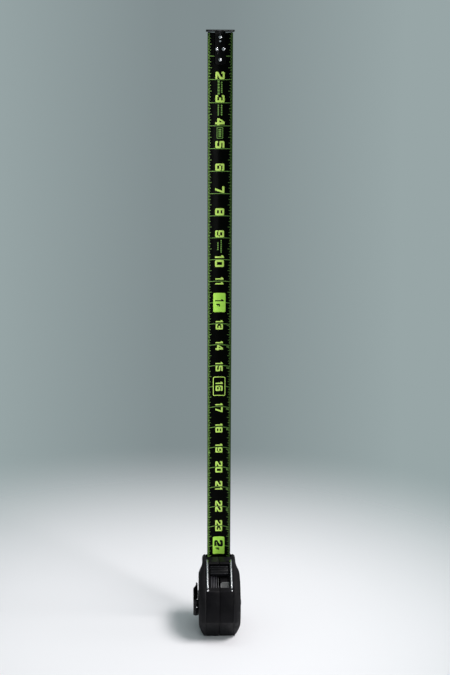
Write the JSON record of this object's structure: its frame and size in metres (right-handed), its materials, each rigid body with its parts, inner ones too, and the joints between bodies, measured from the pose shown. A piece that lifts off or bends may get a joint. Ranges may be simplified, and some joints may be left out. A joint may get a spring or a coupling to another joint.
{
  "type": "tape measure",
  "caption": "Retractable tape measure with a wide cupped blade drawn out and locked, a floating end hook, a sliding thumb lock between steel guard rods and a belt clip.",
  "frame": {"origin": "middle of the model's footprint box, on the flat rear end that it stands on", "axes": "+Z out of the mouth along the blade, -Y to the crown with the thumb lock, +Y to the base, +X to the flank without the belt clip"},
  "size_m": [0.0586, 0.077, 0.7084],
  "materials": {
    "case_plastic": "fine spark-eroded texture",
    "grip_rubber": "moulded rubber with fine grain",
    "black_steel": "black oxide, satin",
    "polished_steel": "polished",
    "plain_steel": "plain",
    "blade_coating": "black lacquer with lime and green print",
    "nylon": "natural nylon",
    "badge": "satin, blank"
  },
  "bodies": {
    "case": {"case_left": "case_plastic", "case_right": "case_plastic", "grip_left": "grip_rubber", "grip_right": "grip_rubber", "side_badge": "badge", "guard_rod_left": "polished_steel", "guard_rod_right": "polished_steel", "rod_pin_left": "polished_steel", "rod_pin_right": "polished_steel", "case_screw_1": "black_steel", "case_screw_2": "black_steel", "case_screw_3": "black_steel", "case_screw_4": "black_steel", "post_screw": "black_steel", "centre_post": "plain_steel", "blade_guide": "nylon", "belt_clip": "black_steel", "clip_screw": "black_steel"},
    "spool": {"spool": "nylon", "spool_cover": "nylon", "power_spring": "plain_steel", "wound_tape": "blade_coating"},
    "blade": {"blade": "blade_coating", "hook_rivet_1": "polished_steel", "hook_rivet_2": "polished_steel", "hook_rivet_3": "polished_steel", "hook_rivet_4": "polished_steel"},
    "hook": {"end_hook": "black_steel"},
    "lever": {"lock_lever": "case_plastic", "brake_arm": "plain_steel", "brake_pad": "grip_rubber"}
  },
  "joints": [
    {"name": "blade_slide", "type": "slide", "parent": "case", "child": "blade", "axis": [0, 0, 1], "range_m": [-0.6228, 0], "deforming": ["blade"]},
    {"name": "hook_float", "type": "slide", "parent": "blade", "child": "hook", "axis": [0, 0, 1], "range_m": [0, 0.0016]},
    {"name": "spool_spin", "type": "hinge", "parent": "case", "child": "spool", "pos_m": [0.0022, 0.0035, 0.034], "axis": [1, 0, 0], "range_deg": [-1280, 0]},
    {"name": "lock_slide", "type": "slide", "parent": "case", "child": "lever", "axis": [0, -0.8897, -0.4565], "range_m": [0, 0.016]}
  ],
  "couplings": [
    {"joint": "spool_spin", "follows": "blade_slide", "rad_per_m": 35.714}
  ]
}
